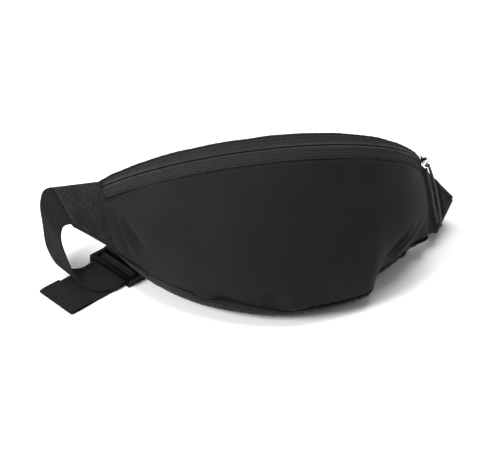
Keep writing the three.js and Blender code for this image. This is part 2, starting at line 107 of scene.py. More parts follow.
class Nodes:
    """A Principled material whose colour and bump are built from small node expressions."""

    def __init__(self, name, rough, sheen=0.0, specular=0.5):
        self.material = bpy.data.materials.new(name)
        self.material.use_nodes = True
        self.tree = self.material.node_tree
        self.shader = self.tree.nodes["Principled BSDF"]
        self.set(self.shader, "Roughness", rough)
        self.set(self.shader, "Specular IOR Level", specular)
        self.set(self.shader, "Sheen Weight", sheen)
        self.set(self.shader, "Sheen Roughness", 0.5)

    def set(self, node, socket, value):
        node.inputs[socket].default_value = value

    def new(self, kind, **values):
        node = self.tree.nodes.new(kind)
        for key, value in values.items():
            setattr(node, key, value)
        return node

    def link(self, source, node, socket):
        self.tree.links.new(source, node.inputs[socket])

    def math(self, operation, *values):
        node = self.new("ShaderNodeMath", operation=operation)
        for i, value in enumerate(values):
            if isinstance(value, (int, float)):
                node.inputs[i].default_value = value
            else:
                self.tree.links.new(value, node.inputs[i])
        return node.outputs[0]

    def uv(self):
        split = self.new("ShaderNodeSeparateXYZ")
        self.link(self.new("ShaderNodeTexCoord").outputs["UV"], split, 0)
        return split.outputs[0], split.outputs[1]

    def noise(self, size_mm, detail=2.0, rough=0.5):
        """Noise between 0 and 1 over the object's own coordinates."""
        node = self.new("ShaderNodeTexNoise")
        self.link(self.new("ShaderNodeTexCoord").outputs["Object"], node, "Vector")
        self.set(node, "Scale", 1000.0 / size_mm)
        self.set(node, "Detail", detail)
        self.set(node, "Roughness", rough)
        return node.outputs[0]

    def wave(self, coordinate, pitch_mm, phase=0.0):
        """A sine of that pitch along a coordinate in metres, between -1 and 1."""
        turned = self.math("MULTIPLY_ADD", coordinate, 2 * math.pi * 1000 / pitch_mm, phase)
        return self.math("SINE", turned)

    def colour(self, value, low, high, start=0.0, end=1.0):
        ramp = self.new("ShaderNodeValToRGB")
        ramp.color_ramp.elements[0].position = start
        ramp.color_ramp.elements[1].position = end
        ramp.color_ramp.elements[0].color = (*low, 1)
        ramp.color_ramp.elements[1].color = (*high, 1)
        self.link(value, ramp, 0)
        self.link(ramp.outputs[0], self.shader, "Base Color")

    def bump(self, height, distance_mm, strength=1.0):
        node = self.new("ShaderNodeBump")
        self.set(node, "Strength", strength)
        self.set(node, "Distance", distance_mm * MM)
        self.link(height, node, "Height")
        self.link(node.outputs[0], self.shader, "Normal")


def grey(value, tint=0.0):
    return (value * (1 - tint), value, value * (1 + tint))


def woven(name, dark, light, pitch, depth, rough=0.8, sheen=0.03, mottle=0.35, patch_mm=38.0,
          fine_mm=1.3):
    """A plain weave: a checker of warp and weft, mottled finely and faded in patches."""
    n = Nodes(name, rough, sheen=sheen, specular=0.1)
    u, v = n.uv()
    weave = n.math("MULTIPLY", n.wave(u, pitch), n.wave(v, pitch * 1.15))
    fine = n.noise(fine_mm, 3.0, 0.7)
    patch = n.noise(patch_mm, 2.0)
    mixed = n.math("MULTIPLY_ADD", weave, 0.16, n.math("MULTIPLY", fine, mottle))
    total = n.math("ADD", mixed, n.math("MULTIPLY", patch, 1 - mottle))
    n.colour(total, grey(dark, 0.01), grey(light, 0.01), 0.22, 0.78)
    n.bump(n.math("ADD", weave, n.math("MULTIPLY", fine, 0.8)), depth, 0.8)
    return n.material


def ribbed(name, dark, light, along_mm, across_mm, depth, rough=0.75, sheen=0.03):
    """Webbing and tape: ribs along the length (u) crossed by fine picks."""
    n = Nodes(name, rough, sheen=sheen, specular=0.1)
    u, v = n.uv()
    picks = n.wave(u, along_mm)
    ribs = n.wave(v, across_mm)
    fine = n.noise(1.6, 2.0, 0.6)
    total = n.math("MULTIPLY_ADD", picks, 0.4, n.math("MULTIPLY_ADD", ribs, 0.22, fine))
    n.colour(total, grey(dark, 0.01), grey(light, 0.01), 0.2, 0.85)
    n.bump(n.math("ADD", picks, ribs), depth, 0.8)
    return n.material


def moulded(name, low, high, rough, specular=0.2, grain_mm=0.5, depth=0.03):
    """Plastic or enamel with a fine moulded grain and rubbed patches."""
    n = Nodes(name, rough, specular=specular)
    grain = n.noise(grain_mm, 2.0)
    n.colour(n.math("ADD", n.math("MULTIPLY", n.noise(9.0), 0.7), n.math("MULTIPLY", grain, 0.3)),
             grey(low), grey(high), 0.3, 0.75)
    n.bump(grain, depth, 0.5)
    return n.material


NYLON = woven("nylon", 0.0054, 0.0102, 1.1, 0.10, rough=0.72)
# The base's nylon is the front's nylon made nearly twice as light: painted light on a face that turns
# down, away from the lamps.
GUSSET_PAINTED_LIGHT = woven("nylon_gusset_painted_light", 0.011, 0.018, 1.1, 0.10, rough=0.72)
CORDURA = woven("cordura", 0.0005, 0.026, 2.1, 0.45, rough=0.85, mottle=0.85, patch_mm=24.0,
                fine_mm=2.0)
SPACER = woven("spacer_mesh", 0.004, 0.013, 2.6, 0.5, rough=0.9, mottle=0.3)
LINING = woven("lining", 0.008, 0.014, 0.8, 0.03, rough=0.6)
FOAM = moulded("foam", 0.006, 0.012, 0.95, grain_mm=1.2, depth=0.2)
TAPE = ribbed("zip_tape", 0.010, 0.021, 1.25, 2.6, 0.14, rough=0.8)
WEBBING = ribbed("webbing", 0.0004, 0.0115, 2.1, 2.0, 0.35)
TAB = ribbed("end_tab", 0.004, 0.03, 1.55, 3.0, 0.3)
# The coil's light grey is painted sheen, lighter than the coil itself; the zip's stops share this
# colour.
COIL_PAINTED_SHEEN = moulded("coil_plastic", 0.025, 0.05, 0.45)
ENAMEL = moulded("slider_metal", 0.003, 0.008, 0.35, specular=0.3)
BUCKLE = moulded("buckle_plastic", 0.0012, 0.003, 0.4, specular=0.1)
# The pull cord's light grey is painted sheen, lighter than the cord itself; its knot shares this
# colour.
BRAID_PAINTED_SHEEN = ribbed("pull_cord", 0.045, 0.125, 1.1, 1.3, 0.10, rough=0.8)
THREAD = moulded("thread", 0.0012, 0.004, 0.6, grain_mm=0.7, specular=0.1)
# The wings' stitching thread is real, but its light grey is a painted highlight along the stitched
# ridges.
WING_THREAD_PAINTED_HIGHLIGHT = moulded("thread_painted_highlight", 0.025, 0.05, 0.6, grain_mm=0.7, specular=0.1)
PIPING = woven("piping", 0.0015, 0.004, 0.9, 0.05, rough=0.8)


# ---- meshes -------------------------------------------------------------------------------------

def make_mesh(name, points, faces, material, body="pack", uv=None, smooth_shading=True):
    mesh = bpy.data.meshes.new(name)
    mesh.from_pydata((np.asarray(points) * MM).tolist(), [], faces)
    if uv is not None:
        layer = mesh.uv_layers.new(name="UVMap")
        loops = np.empty(len(mesh.loops), np.int32)
        mesh.loops.foreach_get("vertex_index", loops)
        layer.data.foreach_set("uv", (np.asarray(uv)[loops] * MM).astype(np.float32).ravel())
    mesh.polygons.foreach_set("use_smooth", [smooth_shading] * len(mesh.polygons))
    mesh.materials.append(material)
    mesh.update()
    piece = bpy.data.objects.new(name, mesh)
    bpy.context.scene.collection.objects.link(piece)
    if body is not None:
        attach(piece, body)
    return piece


def grid_faces(rows, columns, start=0, wrap=False, flip=False):
    faces = []
    for i in range(rows - 1):
        for j in range(columns if wrap else columns - 1):
            k = (j + 1) % columns
            quad = (start + i * columns + j, start + (i + 1) * columns + j,
                    start + (i + 1) * columns + k, start + i * columns + k)
            faces.append(quad[::-1] if flip else quad)
    return faces


def slab(name, outer, inner, material, body="pack"):
    """A closed sheet between two grids of points, each (rows, columns, 3)."""
    rows, columns = outer.shape[:2]
    count = rows * columns
    points = np.concatenate([outer.reshape(-1, 3), inner.reshape(-1, 3)])
    faces = grid_faces(rows, columns) + grid_faces(rows, columns, count, flip=True)
    ring = ([(i, 0) for i in range(rows)] + [(rows - 1, j) for j in range(1, columns)]
            + [(i, columns - 1) for i in range(rows - 2, -1, -1)]
            + [(0, j) for j in range(columns - 2, 0, -1)])
    index = [i * columns + j for i, j in ring]
    for a, b in zip(index, index[1:] + index[:1]):
        faces.append((b, a, a + count, b + count))
    middle = outer[:, columns // 2]
    u = np.concatenate([[0], np.cumsum(np.linalg.norm(np.diff(middle, axis=0), axis=1))])
    cross = outer[rows // 2]
    v = np.concatenate([[0], np.cumsum(np.linalg.norm(np.diff(cross, axis=0), axis=1))])
    uv = np.stack(np.meshgrid(u, v, indexing="ij"), -1).reshape(-1, 2)
    piece = make_mesh(name, points, faces, material, body, np.concatenate([uv, uv]))
    recalculate(piece, np.concatenate([outer - inner, inner - outer]))
    return piece


def recalculate(piece, outward=None):
    """Turns every face of a closed mesh outwards, the way `outward` points at its vertices."""
    work = bmesh.new()
    work.from_mesh(piece.data)
    bmesh.ops.recalc_face_normals(work, faces=work.faces)
    work.to_mesh(piece.data)
    work.free()
    if outward is None:
        return
    normals = np.empty(len(piece.data.vertices) * 3)
    piece.data.vertices.foreach_get("normal", normals)
    if np.sum(normals.reshape(-1, 3) * outward.reshape(-1, 3)) < 0:
        piece.data.flip_normals()


def frames(path):
    """Tangent and two normals at each point of a path, without twist."""
    tangent = unit(np.gradient(path, axis=0))
    side = unit(np.cross(tangent[0], V(0.3, 0.2, 1)))
    sides = []
    for t in tangent:
        side = unit(side - t * side.dot(t))
        sides.append(side)
    sides = np.array(sides)
    return tangent, sides, np.cross(tangent, sides)


def tube(name, path, radius, material, body="pack", sides=10, relief=None):
    """A capped tube. relief(distance, angle) scales its radius."""
    tangent, a, b = frames(path)
    length = np.concatenate([[0], np.cumsum(np.linalg.norm(np.diff(path, axis=0), axis=1))])
    angle = np.linspace(0, 2 * np.pi, sides, endpoint=False)
    s, phi = np.meshgrid(length, angle, indexing="ij")
    r = radius * (relief(s, phi) if relief else np.ones_like(s))
    rings = (path[:, None] + a[:, None] * (r * np.cos(phi))[..., None]
             + b[:, None] * (r * np.sin(phi))[..., None])
    caps = np.array([path[0] - tangent[0] * radius * 0.5, path[-1] + tangent[-1] * radius * 0.5])
    points = np.concatenate([rings.reshape(-1, 3), caps])
    rows = len(path)
    faces = grid_faces(rows, sides, wrap=True)
    first, last = rows * sides, rows * sides + 1
    for j in range(sides):
        k = (j + 1) % sides
        faces.append((first, j, k))
        faces.append((last, (rows - 1) * sides + k, (rows - 1) * sides + j))
    uv = np.concatenate([np.stack([s, phi * radius], -1).reshape(-1, 2), np.zeros((2, 2))])
    piece = make_mesh(name, points, faces, material, body, uv)
    recalculate(piece, np.concatenate([(rings - path[:, None]).reshape(-1, 3),
                                       caps - path[[0, -1]]]))
    return piece


def catmull(points, count):
    """The centripetal Catmull-Rom curve that the CAD sweeps its straps and cords along."""
    p = [np.asarray(q, float) for q in points]
    p = [2 * p[0] - p[1]] + p + [2 * p[-1] - p[-2]]
    out = []
    for t in np.linspace(0, len(points) - 1, count):
        i = min(int(t), len(points) - 2)
        w = t - i
        a, b, c, d = p[i:i + 4]
        d0, d1, d2 = (max(float(np.linalg.norm(y - x)) ** 0.5, 1e-4)
                      for x, y in ((a, b), (b, c), (c, d)))
        m1 = ((b - a) / d0 - (c - a) / (d0 + d1) + (c - b) / d1) * d1
        m2 = ((c - b) / d1 - (d - b) / (d1 + d2) + (d - c) / d2) * d1
        out.append(b + m1 * w + (3 * (c - b) - 2 * m1 - m2) * w ** 2
                   + (2 * (b - c) + m1 + m2) * w ** 3)
    return np.array(out)


def resampled(path, step):
    """Points at equal steps along a path, and the distance of each."""
    length = np.concatenate([[0], np.cumsum(np.linalg.norm(np.diff(path, axis=0), axis=1))])
    count = max(2, int(round(length[-1] / step)) + 1)
    at = np.linspace(0, length[-1], count)
    return np.stack([np.interp(at, length, path[:, k]) for k in range(3)], -1), at


def stitches(name, path, normals, body="pack", pitch=2.7, length=1.9, radius=0.26, material=None):
    """A row of thread stitches lying on a path, each a small lozenge."""
    dense = np.concatenate([[0], np.cumsum(np.linalg.norm(np.diff(path, axis=0), axis=1))])
    points, faces = [], []
    for s in np.arange(pitch / 2, dense[-1] - length / 2, pitch):
        centre, ahead, normal = (
            np.array([np.interp(x, dense, line[:, k]) for k in range(3)])
            for x, line in ((s, path), (s + 0.4, path), (s, normals)))
        along = unit(ahead - centre)
        normal = unit(normal - along * normal.dot(along))
        side = np.cross(normal, along)
        start = len(points)
        points.append(centre - along * length / 2 - normal * 0.1)
        for offset in (-0.28, 0.28):
            for turn in range(6):
                phi = turn * np.pi / 3
                points.append(centre + along * length * offset + side * radius * math.cos(phi)
                              + normal * radius * math.sin(phi))
        points.append(centre + along * length / 2 - normal * 0.1)
        faces += grid_faces(2, 6, start + 1, wrap=True)
        for j in range(6):
            k = (j + 1) % 6
            faces.append((start, start + 1 + j, start + 1 + k))
            faces.append((start + 13, start + 7 + k, start + 7 + j))
    piece = make_mesh(name, points, faces, material or THREAD, body)
    recalculate(piece)
    return piece


# ---- cords: the zip's pull ----------------------------------------------------------------------

CORD_RADIUS = 1.25
KNOT_CENTRE = V(146.7, 73.58, 74.42)
HANGING = unit(V(0, -0.7446, -0.6675))
CORDS = {
    "zip_pull_cord_long": [V(148.2, 71.8, 73.22), V(155.5, 67.5, 55), V(159, 58, 37),
                           V(160.5, 50.5, 22)],
    "zip_pull_cord_short": [V(145.2, 71.8, 72.42), V(151, 66, 53), V(154, 57, 37),
                            V(156.3, 51, 26)],
}


def braided(s, phi):
    return 1 + 0.07 * np.cos(4 * phi + 3.4 * s) * np.cos(4 * phi - 3.4 * s)


def make_cords():
    for node, points in CORDS.items():
        path, at = resampled(catmull(points, 200), 0.3)
        piece = tube(f"{node}_braid", path, CORD_RADIUS * 0.97, BRAID_PAINTED_SHEEN, "pull", 16, braided)
        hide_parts(node)


def make_knot():
    t = np.linspace(0, 2 * np.pi, 90)
    side = V(1, 0, 0)
    out = np.cross(side, HANGING)
    path = (KNOT_CENTRE + side * (0.8 * (np.sin(t) + 2 * np.sin(2 * t)))[:, None] * 0.75
            + HANGING * (0.5 * (np.cos(t) - 2 * np.cos(2 * t)))[:, None] * 0.75
            - out * (0.75 * np.sin(3 * t))[:, None])
    piece = tube("pull_knot", path, 0.95, BRAID_PAINTED_SHEEN, "pull", 12, braided)
    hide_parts("zip_pull_knot")


make_cords()
make_knot()


# ---- pouch rails, as in the CAD but for a sharper step in the slack of the base ------------------

ZIP_HALF_WIDTH = 146.5
ZIP_APEX = V(0, 26, 136.5)
ZIP_DROP = math.hypot(60.5, 67.5)
ZIP_RADIUS = (ZIP_HALF_WIDTH ** 2 + ZIP_DROP ** 2) / (2 * ZIP_DROP)
HALF_ANGLE = math.asin(ZIP_HALF_WIDTH / ZIP_RADIUS)
FABRIC = 1.5
TAPE_THICKNESS = 0.9


def rail(apex, left, right, slack=None):
    """A seam from the left wing (u = -1) over the apex to the right one (u = 1)."""
    def line(u):
        u = np.asarray(u, float)
        end = np.where((u < 0)[..., None], left, right)
        drop = (1 - np.cos(u * HALF_ANGLE)) / (1 - math.cos(HALF_ANGLE))
        if slack is not None:
            drop = drop + slack(u)
        x = end[..., 0] * np.abs(np.sin(u * HALF_ANGLE) / math.sin(HALF_ANGLE))
        return np.stack([x, apex[1] + (end[..., 1] - apex[1]) * drop,
                         apex[2] + (end[..., 2] - apex[2]) * drop], -1)
    return line


def beside(line, wide, narrow, middle, left, right):
    def strip_edge(u):
        u = np.asarray(u, float)
        end = np.where((u < 0)[..., None], left, right)
        lean = unit(mix(middle, end, np.abs(u) ** 1.8))
        return line(u) + lean * (wide + (narrow - wide) * np.abs(u) ** 2.2)[..., None]
    return strip_edge


def base_slack(u):
    """The slack right of the base: its front edge steps back there and runs out at the wing."""
    return 0.24 * smooth((u - 0.36) / 0.13) * (1 - smooth((u - 0.76) / 0.24))


zip_line = rail(ZIP_APEX, V(-146.5, 86.5, 69), V(146.5, 86.5, 69))
lower_seam = rail(V(0, 16.5, 130), V(-145, 81, 61), V(145, 80, 61))
upper_seam = beside(zip_line, 10.4, 4, V(0, .93, .37), V(-.1, .8, .45), V(.2, .9, -.35))
back_top = beside(upper_seam, 10, 3, V(0, .85, -.5), V(-.1, .85, -.5), V(.2, .75, -.65))
taut_base = rail(V(0, -34.5, 14.5), V(-136, 55, 22), V(144, 43, 19))
base_edge = rail(V(0, -34.5, 14.5), V(-136, 55, 22), V(144, 43, 19), base_slack)
back_bottom = rail(V(0, 40, 6), V(-138, 62, 22), V(146, 50, 19))


def fullness(u):
    return 1 - np.abs(u) ** 3


def normals_of(surface, u, v, step=1e-3):
    du = surface(u + step, v) - surface(u - step, v)
    dv = surface(u, v + step) - surface(u, v - step)
    return unit(np.cross(du, dv))


def bulged(first, second, amount):
    def ruled(u, v):
        return mix(first(u), second(u), v)
    return lambda u, v: ruled(u, v) + normals_of(ruled, u, v) * amount(u, v)[..., None]


taut_front = bulged(lower_seam, taut_base, lambda u, v: -(3 + 9 * fullness(u)) * arch(v) ** 0.9)


SLACK_FALL = 3.5                         # how closely the slack keeps to the base


def front_surface(u, v):
    """The front, with the slack of its base gathered near the ground."""
    return taut_front(u, v) + (base_edge(u) - taut_base(u)) * (v ** SLACK_FALL)[..., None]


# Share of the front's height, along the pouch, at which its piped seam runs.
SEAM_LINE = [(-1, 0.955), (-0.81, 0.94), (-0.56, 0.955), (-0.48, 0.985), (-0.38, 0.945),
             (-0.25, 0.965), (-0.09, 1.0), (1, 1.0)]


def seam_height(u):
    return np.interp(u, [a for a, _ in SEAM_LINE], [b for _, b in SEAM_LINE])


def bottom_seam(u):
    return front_surface(u, seam_height(u))


def front_cloth(u, v):
    """The front from the zip down to its piped seam."""
    return front_surface(u, v * seam_height(u))


back_surface = bulged(back_top, back_bottom, lambda u, v: 2 * fullness(u) * arch(v))
top_surface = bulged(upper_seam, back_top, lambda u, v: 0.8 * arch(v))


def gusset_surface(u, v):
    q = mix(base_edge(u), back_bottom(u), v)
    sagged = q[..., 2] - 15 * fullness(u) * arch(v) ** 0.55
    ground = FABRIC + 30 * np.clip(np.abs(u) - 0.3, 0, None) ** 1.5
    q[..., 2] = np.maximum(sagged, np.minimum(ground, q[..., 2]))
    return q


# ---- folds and creases --------------------------------------------------------------------------

def crease(points, line, width, depth):
    """Height over `points` of a fold along a line, running out at both ends."""
    line = np.asarray(line, float)
    best = np.full(points.shape[:-1], 1e9)
    along = np.zeros_like(best)
    for k, (a, b) in enumerate(zip(line[:-1], line[1:])):
        t = np.clip(((points - a) @ (b - a)) / (b - a).dot(b - a), 0, 1)
        d = np.linalg.norm(points - a - t[..., None] * (b - a), axis=-1)
        closer = d < best
        best = np.where(closer, d, best)
        along = np.where(closer, (k + t) / (len(line) - 1), along)
    return depth * np.exp(-(best / width) ** 2) * np.sin(np.pi * (0.1 + 0.8 * along)) ** 0.7


def dent(points, centre, radius, depth):
    return depth * np.exp(-(np.linalg.norm(points - V(*centre), axis=-1) / radius) ** 2)


def drift(points, size, seed):
    """Slow waves over a cloth, about -1 to 1."""
    rng = np.random.default_rng(seed)
    total = np.zeros(points.shape[:-1])
    for _ in range(9):
        direction = unit(rng.normal(size=3)) * 2 * np.pi / (size * rng.uniform(0.7, 1.6))
        total = total + np.sin(points @ direction + rng.uniform(0, 2 * np.pi))
    return total / 4


def pucker(points, distance, pitch, reach, height, seed):
    """Small gathers along a seam that die away over `reach`."""
    phase = points[..., 0] * 2 * np.pi / pitch + 1.4 * drift(points, 4 * pitch, seed)
    return height * np.sin(phase) * np.exp(-distance / reach)


FRONT_CREASES = [
    ([(-141, 62, 57), (-138, 51, 46), (-133, 42, 32)], 4.6, -5.0),
    ([(-139, 57, 58), (-135, 46, 48), (-130, 38, 38)], 4.2, 3.4),
    ([(-137, 56, 61), (-131, 41, 53), (-126, 31, 45)], 4.6, -4.0),
    ([(-145, 78, 62), (-133, 59, 75), (-116, 40, 85)], 6.0, -2.6),
    ([(-143, 70, 60), (-128, 50, 68), (-106, 28, 74)], 6.0, 1.8),
    ([(121, 25, 47), (102, 8, 38), (86, -6, 26)], 4.0, -3.6),
    ([(113, 18, 49), (99, 4, 41), (86, -8, 32)], 4.0, 1.8),
    ([(106, 12, 51), (93, 0, 43), (81, -10, 36)], 4.5, -2.2),
    ([(136, 42, 42), (126, 27, 32), (112, 14, 25)], 5.0, -1.2),
]
FRONT_DENTS = [((-127, 33, 42), 11, -4.0), ((-6, -36, 21), 10, 2.6), ((-23, -33, 28), 9, -2.8),
               ((-64, -21, 24), 6, -1.4), ((-78, -13, 20), 6, 1.0), ((60, -24, 30), 16, 1.2)]


def front_folds(points, to_top, to_bottom):
    height = 0.45 * drift(points, 60, 3)
    for line, width, depth in FRONT_CREASES:
        height = height + crease(points, line, width, depth)
    for centre, radius, depth in FRONT_DENTS:
        height = height + dent(points, centre, radius, depth)
    height = height + pucker(points, to_top, 6.5, 3.5, 0.18, 11)
    height = height + pucker(points, to_bottom, 9.5, 5.0, 0.4, 12)
    return height


def seam_roll(distance, low, high, reach):
    """The cloth's outer level rises from `low` at a seam to `high` past `reach` millimetres."""
    return low + (high - low) * np.sqrt(np.clip(distance / reach, 0, 1))


OUTER_REST = 0.02                        # lowest a cloth's two faces come to the floor
INNER_REST = 0.3


def panel(name, surface, rails, size, outward, level, folds, material, node,
          reach=0.995, low=0.25, roll=2.2):
    """A cloth panel between two seams, its outer face `level` off its surface."""
    u, v = np.meshgrid(np.linspace(-reach, reach, size[0]), smooth_spread(size[1]), indexing="ij")
    points = surface(u, v)
    normal = outward * normals_of(surface, u, np.clip(v, 0.002, 0.998))
    width = np.linalg.norm(rails[0](u) - rails[1](u), axis=-1)
    to_top, to_bottom = v * width, (1 - v) * width
    height = seam_roll(np.minimum(to_top, to_bottom), low, level, roll)
    if folds is not None:
        height = height + folds(points, to_top, to_bottom)
    outer = points + normal * height[..., None]
    inner = points + normal * (height - level * 0.8)[..., None]
    outer[..., 2] = np.maximum(outer[..., 2], OUTER_REST)
    inner[..., 2] = np.maximum(inner[..., 2], INNER_REST)
    piece = slab(name, outer, inner, material)
    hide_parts(node)
    return piece


def smooth_spread(count):
    """Even steps from 0 to 1 with a few extra rows beside both seams."""
    even = np.linspace(0, 1, count)
    extra = np.array([0.004, 0.009, 0.015, 0.022])
    return np.unique(np.concatenate([even, extra, 1 - extra]))


def make_pouch():
    panel("front_shell", front_surface, (lower_seam, base_edge), (300, 116), -1, FABRIC,
          front_folds, NYLON, "front_panel", reach=1.0, low=-0.7, roll=2.6)
    # The base gets the lighter nylon, which is painted light.
    panel("base_gusset", gusset_surface, (base_edge, back_bottom), (220, 50), -1, FABRIC,
          lambda p, a, b: (0.3 * drift(p, 30, 5) + pucker(p, a, 8, 5, 0.35, 6)) * (p[..., 2] > 3),
          GUSSET_PAINTED_LIGHT, "bottom_gusset")
    panel("top_strip", top_surface, (upper_seam, back_top), (240, 12), 1, FABRIC,
          lambda p, a, b: 0.25 * drift(p, 22, 8) + pucker(p, a, 7, 5, 0.2, 9),
          NYLON, "top_panel")

    def padding(points, to_top, to_bottom):
        edge = np.minimum(to_top, to_bottom)
        ends = np.clip((146 - np.abs(points[..., 0])) / 14, 0, 1)
        lift = 5.0 * smooth(edge / 14) * smooth(ends)
        return lift + 0.3 * drift(points, 40, 15) + pucker(points, edge, 9, 5, 0.25, 16)
    back = panel("back_pad", back_surface, (back_top, back_bottom), (240, 70), 1, FABRIC, padding,
                 SPACER, "back_face")
    for node, material in (("back_lining", LINING), ("back_foam", FOAM)):
        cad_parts[node].data.materials.clear()
        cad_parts[node].data.materials.append(material)


def on_panel(surface, outward, u, v, level):
    normal = outward * normals_of(surface, u, v)
    return surface(u, v) + normal * level, normal


HEAVY_THREAD, FINE_THREAD = 0.55, 0.26   # radius of the stitches beside the zip, and of the rest


def make_seams():
    u = np.linspace(-0.985, 0.985, 400)
    outward = -normals_of(front_surface, u, np.full_like(u, 0.97))
    path = bottom_seam(u) + outward * 1.3
    piece = tube("bottom_piping", path, 1.05, PIPING, sides=8,
                 relief=lambda s, phi: 1 + 0.05 * np.sin(s * 2.2) * np.cos(phi))
    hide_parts("bottom_seam_piping")
    rows = [
        ("stitching_front_top", front_cloth, (lower_seam, bottom_seam), -1, 0.8, True, 0.5),
        ("stitching_front_bottom", front_cloth, (lower_seam, bottom_seam), -1, 2.4, False,
         FABRIC),
        ("stitching_top_strip", top_surface, (upper_seam, back_top), 1, 0.8, True, 0.8),
    ]
    for name, surface, (first, second), side, inset, at_start, level in rows:
        width = np.linalg.norm(first(u) - second(u), axis=-1)
        v = inset / width if at_start else 1 - inset / width
        path, normal = on_panel(surface, side, u, v, level * 0.9)
        stitches(name, path, normal, length=2.3, radius=HEAVY_THREAD if at_start else FINE_THREAD)


# ---- zip ----------------------------------------------------------------------------------------

SLOT = 0.45                              # half of the dark line between the coils
RIB_PITCH = 1.12


def tape_surface(seam):
    return lambda u, v: mix(zip_line(u), seam(u), v)


def make_zip():
    for side, seam, outward in (("front", lower_seam, -1), ("back", upper_seam, 1)):
        surface = tape_surface(seam)
        u, w = np.meshgrid(np.linspace(-0.99, 0.99, 320), np.linspace(0, 1, 16), indexing="ij")
        width = np.linalg.norm(zip_line(u) - seam(u), axis=-1)
        v = (SLOT + (width - SLOT + 0.6) * w) / width
        normal = outward * normals_of(surface, u, v)
        points = surface(u, v)
        distance = (1 - v) * width
        level = TAPE_THICKNESS * np.sqrt(np.clip((distance + 0.7) / 1.4, 0.15, 1))
        level = level + pucker(points, np.maximum(distance, 0), 5.5, 3.5, 0.16, 21)
        piece = slab(f"tape_{side}", points + normal * level[..., None],
                     points + normal * (level - 0.75)[..., None], TAPE)
        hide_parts(f"zip_tape_{side}")
        row = np.linspace(-0.985, 0.985, 400)
        wide = np.linalg.norm(zip_line(row) - seam(row), axis=-1)
        path, across = on_panel(surface, outward, row, 1 - 1.9 / wide, TAPE_THICKNESS)
        stitches(f"stitching_tape_{side}", path, across)
        coil(side, surface, seam, outward)


def coil(side, surface, seam, outward):
    """The coil's turns show as fine ribs beside the slot."""
    reach = math.radians(61.2) / HALF_ANGLE
    count = int(2 * reach * HALF_ANGLE * ZIP_RADIUS / RIB_PITCH)
    points, faces = [], []
    box = [(0, 3, 2, 1), (4, 5, 6, 7), (0, 1, 5, 4), (1, 2, 6, 5), (2, 3, 7, 6), (3, 0, 4, 7)]
    for u in np.linspace(-reach, reach, count):
        at = np.array([u])
        width = np.linalg.norm(zip_line(at) - seam(at), axis=-1)
        along = 0.27 * unit(zip_line(at + 1e-3) - zip_line(at - 1e-3))[0]
        start = len(points)
        for lift in (-0.5, 0.32):
            for inset, sign in ((-0.1, -1), (-0.1, 1), (2.3, 1), (2.3, -1)):
                v = (SLOT + inset) / width
                normal = outward * normals_of(surface, at, v)[0]
                shrink = 0.55 if lift > 0 else 1.0
                points.append(surface(at, v)[0] + along * sign * shrink
                              + normal * (TAPE_THICKNESS + lift))
        faces += [tuple(start + i for i in face) for face in box]
    piece = make_mesh(f"coil_{side}", points, faces, COIL_PAINTED_SHEEN)
    recalculate(piece)
    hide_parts(f"zip_coil_{side}")


# ---- wings --------------------------------------------------------------------------------------

WINGS = {
    "left": {
        "seam": [(-147, 92, 71.5), (-143.8, 82, 62.5), (-142, 73, 52), (-140, 65, 39),
                 (-134.5, 54.5, 21)],
        "tip": [V(-184.2, 107, 58.5), V(-173.2, 71, 43)], "facing": 1,
        "creases": [([(0.97, 0.9), (0.5, 0.84), (0.02, 0.8)], 2.6, -1.3),
                    ([(0.9, 0.08), (0.6, 0.13), (0.3, 0.22)], 2.4, -0.9),
                    ([(0.4, 0.2), (0.2, 0.45), (0.05, 0.6)], 4.0, 1.6),
                    ([(0.3, 0.3), (0.12, 0.5), (0.02, 0.75)], 3.0, -1.9)],
        "rows": [[(0.95, 0.04), (0.95, 0.96)], [(0.93, 0.9), (0.04, 0.92)],
                 [(0.93, 0.07), (0.05, 0.07)], [(0.9, 0.14), (0.28, 0.72)],
                 [(0.05, 0.05), (0.05, 0.93)]],
    },
    "right": {
        "seam": [(145.6, 90, 66.5), (145.6, 80, 54.5), (145.4, 66.5, 40), (144.6, 55, 28),
                 (142.6, 45, 17.5)],
        "tip": [V(184, 84, 29), V(157.5, 54, 13.5)], "facing": -1,
        "creases": [([(0.35, 0.02), (0.55, 0.35), (0.75, 0.6)], 3.5, -2.6),
                    ([(0.5, 0.02), (0.7, 0.3), (0.9, 0.5)], 3.0, 1.8),
                    ([(0.1, 0.9), (0.4, 0.8), (0.8, 0.85)], 3.0, -1.0)],
        "rows": [[(0.94, 0.05), (0.94, 0.95)], [(0.05, 0.04), (0.93, 0.06)],
                 [(0.06, 0.06), (0.06, 0.92)]],
    },
}


def wing_surface(wing):
    seam = catmull([V(*p) for p in wing["seam"]], 200)
    grid = np.linspace(0, 1, 200)
    top, bottom = wing["tip"]

    def surface(s, t):
        inner = np.stack([np.interp(t, grid, seam[:, k]) for k in range(3)], -1)
        return mix(inner, mix(top, bottom, t), s)
    return surface


def wing_height(wing, surface, s, t, points):
    edge = np.minimum.reduce([t, 1 - t, (1 - s) * 0.8]) * 45
    height = 1.2 + 1.6 * np.sqrt(np.clip(edge / 3.0, 0, 1)) + 0.3 * drift(points, 16, 31)
    for line, width, depth in wing["creases"]:
        where = surface(np.array([p[0] for p in line]), np.array([p[1] for p in line]))
        height = height + crease(points, where, width, depth)
    return height


